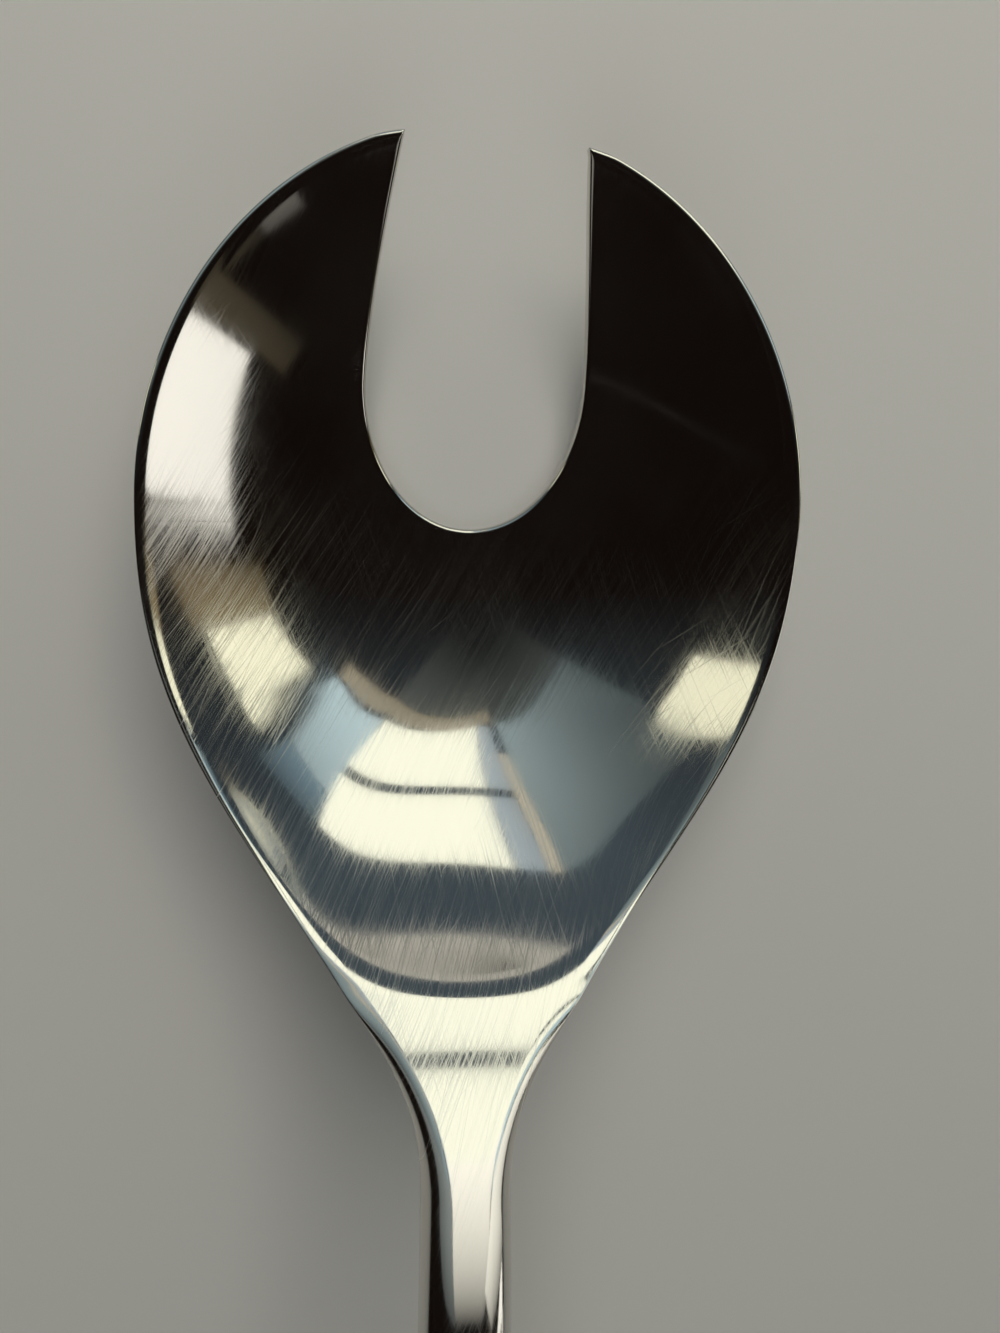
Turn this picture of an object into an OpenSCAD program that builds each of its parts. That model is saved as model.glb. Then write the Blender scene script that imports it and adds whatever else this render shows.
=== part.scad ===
// Salad server with a notched bowl: a pressed bowl with two prongs, a forged neck and a
// hollow handle welded from two half shells. Lengths are in millimetres.
// The server lies on a table, hollow side up. +Y points to the prong tips and +Z is up.
// A station is a distance from the tips back towards the handle's end.

/* [Overall] */
// Length from the prong tips to the end of the handle
overall_len = 250; // [230:1:280]

/* [Bowl] */
// Width of the bowl at its widest station
bowl_w = 60; // [54:0.5:66]
// Station of the bowl's widest point
wide_at = 32; // [29:0.5:35]
// Station of the bowl's deepest point
deep_at = 36.5; // [34:0.5:40]
// Station of the heel, where the hollow ends
heel_at = 73.3; // [71:0.1:76]
// Length of the hollow's round heel, before which its rim follows the outline
heel_round = 4; // [3:0.5:6]
// Station from which the hollow's sections turn from the middle's to the heel's
heel_from = 50; // [46:1:54]
// Depth of the hollow below its rim
bowl_depth = 14.2; // [12:0.1:16]
// Thickness of the bowl's wall
wall_t = 1.3; // [1:0.1:1.8]
// Width of the flat land along the rim
rim_land = 0.5; // [0.3:0.1:0.9]
// Half the height of the rim's rounded edge
rim_half = 0.5; // [0.4:0.05:0.7]
// Width of the rolled edge along the rim, seen from above
edge_roll = 0.6; // [0.4:0.1:1.2]
// Rounding of the rim's inner edge
inner_round = 0.9; // [0.4:0.1:1.2]
// Drop of the prong tips below the rim beside the hollow
tip_drop = 1; // [0:0.25:2]
// Rise of the rim from beside the hollow to the heel
heel_rise = 8.5; // [7:0.5:10]
// Slope of the top line at the heel
heel_slope = 1.04; // [0.9:0.02:1.16]

/* [Notch] */
// Widest gap between the prongs
notch_w = 21.4; // [18:0.2:24]
// Gap between the prong tips
mouth_w = 15.8; // [12:0.2:18]
// Depth of the notch from the tips
notch_len = 33.8; // [31:0.1:37]
// Length of the notch's round bottom
notch_round = 13.8; // [10:0.1:15]
// Width of each prong at its tip
tip_w = 0.7; // [0.5:0.1:1.2]

/* [Neck] */
// Length over which the shoulders draw in from the widest station
shoulder_len = 52; // [48:0.5:56]
// Width of the neck
neck_w = 7.6; // [7:0.1:9]
// Thickness of the neck, square to its top line
neck_t = 6.5; // [5:0.1:8]
// Width of the rolled edge along the neck's flat top
neck_roll = 2.6; // [2:0.1:3.2]
// Station from which the neck's flat top turns round towards the handle
flat_to = 88; // [84:1:92]
// Softness of the bend from the shoulders into the neck
neck_blend = 7; // [5:0.5:9]
// Station of the joint between neck and handle
joint_at = 106; // [100:1:112]

/* [Handle] */
// Width of the handle at its widest
handle_w = 17; // [14:0.5:20]
// Thickness of the handle at its thickest
handle_t = 9.5; // [8:0.1:11]
// Thickness of the two handle shells
shell_t = 0.9; // [0.7:0.1:1.2]
// Station of the handle's crest
crest_at = 122; // [116:1:128]
// Rise of the top line from the heel to the crest
crest_rise = 19.5; // [17:0.5:22]
// Distance from the handle's end to its widest station
swell_back = 42; // [34:1:50]
// Length of the handle's rounded end
end_round = 12; // [9:0.5:15]
// Downward slope of the handle where it meets the table
end_slope = 0.16; // [0.1:0.02:0.22]

/* [Tang] */
// Length of the tang inside the handle
tang_len = 60; // [45:1:70]
// Width of the tang where it leaves the neck
tang_w = 4.6; // [3.6:0.1:5]
// Height of the tang where it leaves the neck
tang_t = 3.4; // [2.4:0.1:3.8]
// Width and height left at the tang's end, as a share of the start
tang_taper = 0.6; // [0.4:0.05:1]
// Length of the cement past the tang's end
bed_past = 5; // [3:0.5:12]

/* [Hidden] */

steel = [0.76, 0.76, 0.75];
cement = [0.60, 0.56, 0.48];

// Columns from the centre line to the edge, and rings along each stretch
columns = 12;
prong_rings = 12;
notch_rings = 10;
floor_rings = 12;
heel_rings = 16;
neck_rings = 8;
tang_rings = 6;
grip_rings = 10;
end_rings = 6;

// Share of the hollow's depth that rises as a square: along the bowl, across its middle and
// across its heel. The rest rises as a fourth power, so the wall stands up towards the rim.
long_share = 0.65;
cross_share = 0.85;
heel_cross = 0.35;
// Curves of the underside across the bowl's middle and its heel
under_pow = 2.3;
heel_under = 3;
// Curves of the outline's shoulders and of the prongs' inner edges
shoulder_pow = 1.17;
prong_pow = 1.6;
// Crowding of the rings towards the tips
tip_crowd = 1.5;
// Softness of the bend where the hollow's width stops following the outline
heel_blend = 9;

// Stretch before and after the heel that is drawn with close rings
heel_before = 10;
heel_after = 6;
// How far the last ring of the rounded end turns towards the handle's axis, in degrees
end_turn = 86;
// Widening of the neck over which its round section turns into the flat rim
crown_band = 7;
// Widening of the neck over which its rolled edge narrows to the rim's
roll_band = 18;
// Softness of the bend from the bowl's underside into the neck's
keel_blend = 4.5;
// Half the step used to measure a slope
probe = 0.05;

rim_z = wall_t + bowl_depth;
heel_z = rim_z + heel_rise;
crest_z = heel_z + crest_rise;
rest_at = overall_len - end_round;
swell_at = overall_len - swell_back;
end_half_t = handle_t / 2 * norm([1, end_slope]);
rest_z = end_half_t + norm([end_half_t, end_slope * end_round]);
straight_len = notch_len - notch_round;
tip_half = mouth_w / 2 + tip_w;
front_len = wide_at / sqrt(1 - pow(tip_half / (bowl_w / 2), 2));
front_reach = deep_at + front_len - wide_at;
rear_reach = heel_at - deep_at;
climb_pow = heel_slope * rear_reach / heel_rise;
bed_end = joint_at + tang_len + bed_past;

function y_at(s) = overall_len / 2 - s;
function clip01(t) = min(max(t, 0), 1);
function ease(t) = clip01(t) * clip01(t) * (3 - 2 * clip01(t));
function soft_max(a, b, k) = max(a, b) + pow(max(k - abs(a - b), 0), 2) / (4 * k);
function soft_min(a, b, k) = -soft_max(-a, -b, k);

// Cubic through two points with given slopes
function cubic(s, s0, z0, m0, s1, z1, m1) =
    let (w = s1 - s0, t = (s - s0) / w)
    (1 + 2 * t) * pow(1 - t, 2) * z0 + t * pow(1 - t, 2) * w * m0
    + t * t * (3 - 2 * t) * z1 + t * t * (t - 1) * w * m1;

// Top line of the whole server: rim, neck and handle
function ridge(s) =
    s < deep_at ? rim_z - tip_drop * pow((deep_at - s) / deep_at, 2)
    : s < heel_at ? rim_z + heel_rise * pow((s - deep_at) / rear_reach, climb_pow)
    : s < crest_at ? cubic(s, heel_at, heel_z, heel_slope, crest_at, crest_z, 0)
    : s < rest_at ? cubic(s, crest_at, crest_z, 0, rest_at, rest_z, -end_slope)
    : rest_z - end_slope * (s - rest_at);
// Height taken up by each unit of thickness where the top line slopes
function steep(s) = norm([1, (ridge(s + probe) - ridge(s - probe)) / (2 * probe)]);

// Half the outline's width: an ellipse in front, a cosine shoulder and then the neck
function half_w(s) =
    s < wide_at ? bowl_w / 2 * sqrt(1 - pow((wide_at - s) / front_len, 2))
    : soft_max(bowl_w / 2 * cos(90 * pow(min((s - wide_at) / shoulder_len, 2), shoulder_pow)),
               neck_w / 2, neck_blend);

// Share of the flat bowl section, from none in the neck to all in the bowl
function flatness(s) = ease((half_w(s) - neck_w / 2) / crown_band);

// Height of the top line above the edge line
function neck_half_t(s) = neck_t / 2 * steep(s);
function crown(s) = neck_half_t(s) + (rim_half - neck_half_t(s)) * flatness(s);
function edge_z(s) = ridge(s) - crown(s);

// Width of the quarter ellipse that rolls the top face down to the outline's edge. At the handle
// it is half the neck, so the section is round there.
function roll(s) =
    let (at_neck = neck_roll + (neck_w / 2 - neck_roll) * ease((s - flat_to) / (joint_at - flat_to)))
    edge_roll + (at_neck - edge_roll) * (1 - ease((half_w(s) - neck_w / 2) / roll_band));

// Top face without the hollow
function deck(x, s) =
    let (into_edge = clip01(1 - (half_w(s) - x) / roll(s)))
    edge_z(s) + crown(s) * sqrt(1 - into_edge * into_edge);

// Rise of the hollow's floor at a share t of the way to its rim, and the share at which it has a rise
function bowl_curve(t, square) = square * t * t + (1 - square) * pow(t, 4);
function bowl_share(rise, square) =
    sqrt((sqrt(square * square + 4 * (1 - square) * rise) - square) / (2 * (1 - square)));

// Station held at the start of the hollow's round heel, and how far the sections have turned
// from the bowl's middle to its heel there
function held(s) = soft_min(s, heel_at - heel_round, heel_blend);
function heelward(s) = ease((held(s) - heel_from) / (heel_at - heel_round - heel_from));
function cross_at(s) = cross_share + (heel_cross - cross_share) * heelward(s);
function under_at(s) = under_pow + (heel_under - under_pow) * heelward(s);

// Share of the hollow's depth that is lost along the bowl, and the hollow's half width
function rise_along(s) =
    bowl_curve(s < deep_at ? (deep_at - s) / front_reach : (s - deep_at) / rear_reach, long_share);
function hollow_half(s) =
    (half_w(held(s)) - rim_land) / bowl_share(1 - rise_along(held(s)), cross_at(s));
function hollow_depth(x, s) =
    bowl_depth * (1 - rise_along(s) - bowl_curve(x / hollow_half(s), cross_at(s)));
function top_z(x, s) = deck(x, s) - soft_max(hollow_depth(x, s), 0, inner_round);

// Underside: the hollow's floor less the wall, drawn into the neck's underside
function floor_z(s) = ridge(s) - bowl_depth * (1 - rise_along(s));
function floor_slope(s) = (floor_z(s + probe) - floor_z(s - probe)) / (2 * probe);
function wall_z(s) = floor_z(s) - wall_t * norm([1, floor_slope(s)]);
function keel(s) =
    s < deep_at ? wall_z(s) : soft_min(wall_z(s), ridge(s) - 2 * neck_half_t(s), keel_blend);
function under_z(x, s) =
    let (round_share = 1 - flatness(s), u = clip01(x / half_w(s)),
         p = under_at(s) + (2 - under_at(s)) * round_share)
    edge_z(s) - (edge_z(s) - keel(s)) * pow(1 - pow(u, p), 1 / (1 + round_share));

// Half the gap between the prongs
function notch_half(s) =
    s < straight_len ? notch_w / 2 - (notch_w - mouth_w) / 2 * pow(1 - s / straight_len, prong_pow)
    : s < notch_len ? notch_w / 2 * sqrt(max(1 - pow((s - straight_len) / notch_round, 2), 0))
    : 0;

// Stations of the head's rings, closest at the tips, the notch's bottom and the heel
prong_stations = [for (i = [0 : prong_rings]) straight_len * pow(i / prong_rings, tip_crowd)];
notch_stations = [for (i = [1 : notch_rings]) straight_len + notch_round * sin(90 * i / notch_rings)];
heel_start = heel_at - heel_before;
heel_end = heel_at + heel_after;
floor_stations = [for (i = [1 : floor_rings]) notch_len + (heel_start - notch_len) * i / floor_rings];
heel_stations = [for (i = [1 : heel_rings]) heel_start + (heel_end - heel_start) * i / heel_rings];
neck_stations = [for (i = [1 : neck_rings]) heel_end + (joint_at - heel_end) * i / neck_rings];
head_stations = concat(prong_stations, notch_stations, floor_stations, heel_stations, neck_stations);
notch_end = prong_rings + notch_rings;
tang_stations = [for (i = [0 : tang_rings]) joint_at + tang_len * i / tang_rings];

// Handle sections: width and height of the outside before its rounded end
function swell(s) = ease((s - joint_at) / (swell_at - joint_at));
function grip_half_w(s) = neck_w / 2 + (handle_w - neck_w) / 2 * swell(s);
function grip_half_t(s) = (neck_t / 2 + (handle_t - neck_t) / 2 * swell(s)) * steep(s);
function grip_z(s) = ridge(s) - grip_half_t(s);
function tang_share(s) = 1 - (1 - tang_taper) * (s - joint_at) / tang_len;

// Stations of the handle's rings, with the turn of the rounded end in degrees
grip_stations = concat(
    [for (s = tang_stations) [s, 0]],
    [for (i = [0 : grip_rings]) [bed_end + (rest_at - bed_end) * i / grip_rings, 0]],
    [for (i = [1 : end_rings]) [rest_at, end_turn * i / end_rings]]);

// Two triangles between neighbouring edges, or one where two corners are the same point
function is_whole(f) = f[0] != f[1] && f[1] != f[2] && f[2] != f[0];
function quad(a, b, c, d) = [for (f = [[a, b, c], [a, c, d]]) if (is_whole(f)) f];
function flip(faces) = [for (f = faces) [f[2], f[1], f[0]]];
function flat(lists) = [for (l = lists, item = l) item];

// Half a ring of the head: top from the inside to the edge, then the underside back
half_ring = 2 * columns + 1;
function share(j) = sin(90 * j / columns);
function column_x(s, j) = notch_half(s) + (half_w(s) - notch_half(s)) * share(j);
function head_half_ring(s, side) = concat(
    [for (j = [0 : columns]) [side * column_x(s, j), y_at(s), top_z(column_x(s, j), s)]],
    [for (j = [columns - 1 : -1 : 0]) [side * column_x(s, j), y_at(s), under_z(column_x(s, j), s)]]);
function tang_half_ring(s, side) =
    let (w = tang_w / 2 * tang_share(s), t = tang_t / 2 * tang_share(s))
    [for (j = [0 : 2 * columns])
        [side * w * sin(90 * j / columns), y_at(s), grip_z(s) + t * cos(90 * j / columns)]];

module head() {
    rings = len(head_stations) + len(tang_stations);
    points = concat(
        flat([for (s = head_stations, side = [1, -1]) head_half_ring(s, side)]),
        flat([for (s = tang_stations, side = [1, -1]) tang_half_ring(s, side)]));
    // Behind the notch both halves share the points on the centre line
    function at(i, half, k) =
        let (shared = i >= notch_end && (k == 0 || k == half_ring - 1))
        (2 * i + (shared ? 0 : half)) * half_ring + k;
    function skin(half) = flat([for (i = [0 : rings - 2], k = [0 : half_ring - 2])
        quad(at(i, half, k), at(i, half, k + 1), at(i + 1, half, k + 1), at(i + 1, half, k))]);
    function notch_wall(half) = flat([for (i = [0 : notch_end - 1])
        quad(at(i, half, half_ring - 1), at(i, half, 0),
             at(i + 1, half, 0), at(i + 1, half, half_ring - 1))]);
    function cap(i, half) = flat([for (j = [0 : columns - 1])
        quad(at(i, half, j + 1), at(i, half, j),
             at(i, half, half_ring - 1 - j), at(i, half, half_ring - 2 - j))]);
    function half_faces(half) = concat(
        skin(half), notch_wall(half), cap(0, half), flip(cap(rings - 1, half)));
    color(steel)
        polyhedron(points, concat(half_faces(0), flip(half_faces(1))));
}

// Point of a handle ring, turned by an angle from straight up and set in by a wall
function grip_point(station, angle, inset) =
    let (s = station[0], turn = station[1],
         reach = s + (end_round - inset) * sin(turn),
         w = (grip_half_w(s) - inset) * cos(turn), t = (grip_half_t(s) - inset) * cos(turn))
    [w * sin(angle), y_at(reach), grip_z(s) - end_slope * (reach - s) + t * cos(angle)];

// One half of the hollow handle, above (side 1) or below (side -1) its welded seam
module handle_shell(side) {
    rings = len(grip_stations);
    steps = 2 * columns;
    points = flat([for (inset = [0, shell_t], st = grip_stations)
        [for (k = [0 : steps]) grip_point(st, (side > 0 ? 0 : 180) + 90 * (k / columns - 1), inset)]]);
    function at(layer, i, k) = (layer * rings + i) * (steps + 1) + k;
    function skin(layer) = flat([for (i = [0 : rings - 2], k = [0 : steps - 1])
        quad(at(layer, i, k), at(layer, i, k + 1), at(layer, i + 1, k + 1), at(layer, i + 1, k))]);
    function seam(k) = flat([for (i = [0 : rings - 2])
        quad(at(0, i, k), at(0, i + 1, k), at(1, i + 1, k), at(1, i, k))]);
    function cap(layer) = flat([for (k = [0 : columns - 1])
        quad(at(layer, rings - 1, k), at(layer, rings - 1, k + 1),
             at(layer, rings - 1, steps - k - 1), at(layer, rings - 1, steps - k))]);
    front = flat([for (k = [0 : steps - 1])
        quad(at(0, 0, k + 1), at(0, 0, k), at(1, 0, k), at(1, 0, k + 1))]);
    end_seam = quad(at(0, rings - 1, 0), at(0, rings - 1, steps),
                    at(1, rings - 1, steps), at(1, rings - 1, 0));
    color(steel)
        polyhedron(points, concat(
            skin(0), flip(skin(1)), seam(0), flip(seam(steps)), cap(0), flip(cap(1)), front, end_seam));
}

module handle_upper_shell() {
    handle_shell(1);
}

module handle_lower_shell() {
    handle_shell(-1);
}

// Cement between the tang and the handle's inside, with the tang's pocket in its front
module tang_cement() {
    steps = 4 * columns;
    outer_rings = tang_rings + 2;
    pocket_rings = tang_rings + 1;
    outer = flat([for (i = [0 : outer_rings - 1])
        [for (k = [0 : steps - 1]) grip_point(grip_stations[i], 360 * k / steps, shell_t)]]);
    pocket = flat([for (s = tang_stations)
        [for (k = [0 : steps - 1])
            [tang_w / 2 * tang_share(s) * sin(360 * k / steps), y_at(s),
             grip_z(s) + tang_t / 2 * tang_share(s) * cos(360 * k / steps)]]]);
    function at(layer, i, k) = (layer * outer_rings + i) * steps + k % steps;
    function skin(layer, rings) = flat([for (i = [0 : rings - 2], k = [0 : steps - 1])
        quad(at(layer, i, k), at(layer, i, k + 1), at(layer, i + 1, k + 1), at(layer, i + 1, k))]);
    function cap(layer, i) = flat([for (k = [0 : steps / 2 - 1])
        quad(at(layer, i, k), at(layer, i, k + 1), at(layer, i, steps - k - 1), at(layer, i, steps - k))]);
    front = flat([for (k = [0 : steps - 1])
        quad(at(0, 0, k + 1), at(0, 0, k), at(1, 0, k), at(1, 0, k + 1))]);
    color(cement)
        polyhedron(concat(outer, pocket), concat(
            skin(0, outer_rings), flip(skin(1, pocket_rings)),
            cap(0, outer_rings - 1), flip(cap(1, pocket_rings - 1)), front));
}

head();
handle_upper_shell();
handle_lower_shell();
tang_cement();
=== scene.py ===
"""Salad server with a notched bowl: a polished steel head on a hollow welded handle.

The head and the two handle halves repeat the part's own lengths on fine grids, because the flat
facets of the solids would show in mirror steel. Lengths are in millimetres, and the last step of
each piece turns them into metres. A station is a distance from the prong tips back to the handle's
end. The cement inside the handle is the solid itself.
"""

import bpy
import numpy as np
from mathutils import Matrix, Vector


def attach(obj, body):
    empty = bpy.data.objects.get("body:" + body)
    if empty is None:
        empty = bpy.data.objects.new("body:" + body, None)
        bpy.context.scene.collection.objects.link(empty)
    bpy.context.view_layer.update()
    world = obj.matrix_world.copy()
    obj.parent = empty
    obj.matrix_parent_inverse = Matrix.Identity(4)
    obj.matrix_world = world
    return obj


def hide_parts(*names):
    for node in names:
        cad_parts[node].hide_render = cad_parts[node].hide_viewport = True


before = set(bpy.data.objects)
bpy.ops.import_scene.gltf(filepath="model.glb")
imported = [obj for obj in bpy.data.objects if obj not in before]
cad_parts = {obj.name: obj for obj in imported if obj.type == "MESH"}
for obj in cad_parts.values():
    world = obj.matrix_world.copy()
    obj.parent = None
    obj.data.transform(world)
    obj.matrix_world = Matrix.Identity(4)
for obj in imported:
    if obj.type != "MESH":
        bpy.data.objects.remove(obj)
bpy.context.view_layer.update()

MM = 0.001

# Lengths, slopes and shares of the part
OVERALL_LEN = 250.0
BOWL_W = 60.0
WIDE_AT = 32.0
DEEP_AT = 36.5
HEEL_AT = 73.3
HEEL_ROUND = 4.0
HEEL_FROM = 50.0
BOWL_DEPTH = 14.2
WALL_T = 1.3
RIM_LAND = 0.5
RIM_HALF = 0.5
INNER_ROUND = 0.9
EDGE_ROLL = 0.6
NECK_ROLL = 2.6
FLAT_TO = 88.0
TIP_DROP = 1.0
HEEL_RISE = 8.5
HEEL_SLOPE = 1.04
NOTCH_W = 21.4
MOUTH_W = 15.8
NOTCH_LEN = 33.8
NOTCH_ROUND = 13.8
TIP_W = 0.7
SHOULDER_LEN = 52.0
NECK_W = 7.6
NECK_T = 6.5
NECK_BLEND = 7.0
JOINT_AT = 106.0
HANDLE_W = 17.0
HANDLE_T = 9.5
SHELL_T = 0.9
CREST_AT = 122.0
CREST_RISE = 19.5
SWELL_BACK = 42.0
END_ROUND = 12.0
END_SLOPE = 0.16
TANG_LEN = 60.0
TANG_W = 4.6
TANG_T = 3.4
TANG_TAPER = 0.6

# Curves of the bowl, the underside, the shoulders and the prongs
LONG_SHARE = 0.65
CROSS_SHARE = 0.85
HEEL_CROSS = 0.35
UNDER_POW = 2.3
HEEL_UNDER = 3.0
SHOULDER_POW = 1.17
PRONG_POW = 1.6
HEEL_BLEND = 9.0
ROLL_BAND = 18.0
CROWN_BAND = 7.0
KEEL_BLEND = 4.5
PROBE = 0.05

# Polished edges that only a fine grid can show. The bevel takes its share of the rim's drop, and
# the notch's edge shrinks where a prong is narrower than NOTCH_EASE tips. The seam's band is in degrees.
NOTCH_EDGE = 0.4
NOTCH_EASE = 3.0
BEVEL_SHARE = 0.5
BEVEL_POW = 1.5
CORNER_POW = 6.0
JOINT_LINE = 0.1
SEAM_LINE = 0.06
SEAM_BAND = 1.2

# Angle in degrees from which two faces keep a crease, and what keeps a division away from zero
SHARP_ANGLE = 38.0
TINY = 1e-9

# Rings of the head along the prongs, round the notch's bottom and its lip, and over the bowl's floor,
# the heel, the neck and the tang, with the reach of the heel's close rings before and after it
PRONG_RINGS = 61
PRONG_CROWD = 1.5
NOTCH_RINGS = 61
LIP_RINGS = 7
FLOOR_RINGS = 52
HEEL_RINGS = 90
HEEL_BEFORE = 11.0
HEEL_AFTER = 7.0
NECK_RINGS = 52
TANG_RINGS = 13

# Columns of half a head ring across the face and across the rolled edge
FACE_COLUMNS = 44
EDGE_COLUMNS = 12
HEAD_COLUMNS = FACE_COLUMNS + EDGE_COLUMNS

# Rings and columns of a handle half, and the rings of its round end
HANDLE_RINGS = 150
END_RINGS = 40
HANDLE_COLUMNS = 73

# Derived heights and stations
RIM_Z = WALL_T + BOWL_DEPTH
HEEL_Z = RIM_Z + HEEL_RISE
CREST_Z = HEEL_Z + CREST_RISE
REST_AT = OVERALL_LEN - END_ROUND
SWELL_AT = OVERALL_LEN - SWELL_BACK
END_HALF_T = HANDLE_T / 2 * np.hypot(1, END_SLOPE)
REST_Z = END_HALF_T + np.hypot(END_HALF_T, END_SLOPE * END_ROUND)
STRAIGHT_LEN = NOTCH_LEN - NOTCH_ROUND
TIP_HALF = MOUTH_W / 2 + TIP_W
FRONT_LEN = WIDE_AT / np.sqrt(1 - (TIP_HALF / (BOWL_W / 2)) ** 2)
FRONT_REACH = DEEP_AT + FRONT_LEN - WIDE_AT
REAR_REACH = HEEL_AT - DEEP_AT
CLIMB_POW = HEEL_SLOPE * REAR_REACH / HEEL_RISE


def ease(t):
    """Smooth step: t held to 0..1, then t squared times (3 - 2t)."""
    t = np.clip(t, 0, 1)
    return t * t * (3 - 2 * t)


def soft_max(a, b, k):
    """The larger of a and b, with a parabola of half width k where they cross."""
    return np.maximum(a, b) + np.maximum(k - np.abs(a - b), 0) ** 2 / (4 * k)


def soft_min(a, b, k):
    """The smaller of a and b, rounded in the same way."""
    return -soft_max(-a, -b, k)


def cubic(s, s0, z0, m0, s1, z1, m1):
    """Cubic through (s0, z0) and (s1, z1) with slopes m0 and m1."""
    w = s1 - s0
    t = (s - s0) / w
    return ((1 + 2 * t) * (1 - t) ** 2 * z0 + t * (1 - t) ** 2 * w * m0
            + t * t * (3 - 2 * t) * z1 + t * t * (t - 1) * w * m1)


def ridge(s):
    """Top line: a parabola over the prongs, a power curve up to the heel, then two cubics."""
    t = np.clip((s - DEEP_AT) / REAR_REACH, 0, 1)
    return np.select(
        [s < DEEP_AT, s < HEEL_AT, s < CREST_AT, s < REST_AT],
        [RIM_Z - TIP_DROP * ((DEEP_AT - s) / DEEP_AT) ** 2,
         RIM_Z + HEEL_RISE * t ** CLIMB_POW,
         cubic(s, HEEL_AT, HEEL_Z, HEEL_SLOPE, CREST_AT, CREST_Z, 0),
         cubic(s, CREST_AT, CREST_Z, 0, REST_AT, REST_Z, -END_SLOPE)],
        REST_Z - END_SLOPE * (s - REST_AT))


def slope(curve, s):
    """Slope of a curve over s, from two points PROBE either side."""
    return (curve(s + PROBE) - curve(s - PROBE)) / (2 * PROBE)


def steep(s):
    """Height that each unit of thickness takes up where the top line slopes."""
    return np.hypot(1, slope(ridge, s))


def half_w(s):
    """Half the outline: an ellipse in front, then a cosine shoulder blended into the neck."""
    front = BOWL_W / 2 * np.sqrt(np.maximum(1 - ((WIDE_AT - s) / FRONT_LEN) ** 2, 0))
    t = np.clip((s - WIDE_AT) / SHOULDER_LEN, 0, 2)
    rear = soft_max(BOWL_W / 2 * np.cos(np.pi / 2 * t ** SHOULDER_POW), NECK_W / 2, NECK_BLEND)
    return np.where(s < WIDE_AT, front, rear)


def flatness(s):
    """0 in the round neck and 1 in the bowl, eased over the widening of the neck."""
    return ease((half_w(s) - NECK_W / 2) / CROWN_BAND)


def neck_half_t(s):
    """Half the neck's upright thickness."""
    return NECK_T / 2 * steep(s)


def crown(s):
    """Height of the top line above the edge: half the neck, or half the rim in the bowl."""
    return neck_half_t(s) + (RIM_HALF - neck_half_t(s)) * flatness(s)


def edge_z(s):
    """Height of the outline's edge."""
    return ridge(s) - crown(s)


def roll(s):
    """Width of the rolled edge: the rim's, eased into the neck's, which is half the neck at the joint."""
    at_neck = NECK_ROLL + (NECK_W / 2 - NECK_ROLL) * ease((s - FLAT_TO) / (JOINT_AT - FLAT_TO))
    return EDGE_ROLL + (at_neck - EDGE_ROLL) * (1 - ease((half_w(s) - NECK_W / 2) / ROLL_BAND))


def deck(x, s):
    """Top face without the hollow: level, with a rolled edge on each side.

    Along the neck the edge is a quarter ellipse. Along the rim it is a gentle power curve, the
    bevel, that ends in the tight corner of a superellipse.
    """
    into_edge = np.clip(1 - (half_w(s) - np.abs(x)) / roll(s), 0, 1)
    rolled = 1 - np.sqrt(1 - into_edge ** 2)
    corner = 1 - (1 - into_edge ** CORNER_POW) ** (1 / CORNER_POW)
    bevel = BEVEL_SHARE * into_edge ** BEVEL_POW + (1 - BEVEL_SHARE) * corner
    return ridge(s) - crown(s) * (rolled + (bevel - rolled) * flatness(s))


def bowl_curve(t, square):
    """Rise of the hollow's floor: a share of t squared, and the rest t to the fourth."""
    return square * t ** 2 + (1 - square) * t ** 4


def bowl_share(rise, square):
    """The t at which bowl_curve has that rise, by the quadratic formula in t squared."""
    return np.sqrt((np.sqrt(square ** 2 + 4 * (1 - square) * rise) - square) / (2 * (1 - square)))


def rise_along(s):
    """Share of the hollow's depth lost along the bowl, in front of and behind its deepest point."""
    ahead = (DEEP_AT - s) / FRONT_REACH
    behind = (s - DEEP_AT) / REAR_REACH
    return bowl_curve(np.where(s < DEEP_AT, ahead, behind), LONG_SHARE)


def held(s):
    """Station, held from the start of the hollow's round heel on."""
    return soft_min(s, HEEL_AT - HEEL_ROUND, HEEL_BLEND)


def heelward(s):
    """How far the sections have turned from the bowl's middle (0) to its heel (1), eased."""
    return ease((held(s) - HEEL_FROM) / (HEEL_AT - HEEL_ROUND - HEEL_FROM))


def cross_at(s):
    """Square share of the hollow's cross curve, from the bowl's middle to its heel."""
    return CROSS_SHARE + (HEEL_CROSS - CROSS_SHARE) * heelward(s)


def hollow_half(s):
    """Half width at which the hollow would come up to the deck; past the heel's start it is held."""
    return (half_w(held(s)) - RIM_LAND) / bowl_share(1 - rise_along(held(s)), cross_at(s))


def top_z(x, s):
    """Deck less the hollow, whose rim is rounded by a soft maximum with zero depth."""
    across = bowl_curve(np.abs(x) / hollow_half(s), cross_at(s))
    return deck(x, s) - soft_max(BOWL_DEPTH * (1 - rise_along(s) - across), 0, INNER_ROUND)


def floor_z(s):
    """Hollow's floor on the centre line."""
    return ridge(s) - BOWL_DEPTH * (1 - rise_along(s))


def keel(s):
    """Underside on the centre line: the floor less the wall, blended into the neck's underside."""
    wall = floor_z(s) - WALL_T * np.hypot(1, slope(floor_z, s))
    return np.where(s < DEEP_AT, wall, soft_min(wall, ridge(s) - 2 * neck_half_t(s), KEEL_BLEND))


def under_z(x, s):
    """Underside across: a power curve under the bowl that turns into half an ellipse at the neck."""
    round_share = 1 - flatness(s)
    u = np.clip(np.abs(x) / half_w(s), 0, 1)
    bowl_power = UNDER_POW + (HEEL_UNDER - UNDER_POW) * heelward(s)
    power = bowl_power + (2 - bowl_power) * round_share
    return edge_z(s) - (edge_z(s) - keel(s)) * (1 - u ** power) ** (1 / (1 + round_share))


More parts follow.
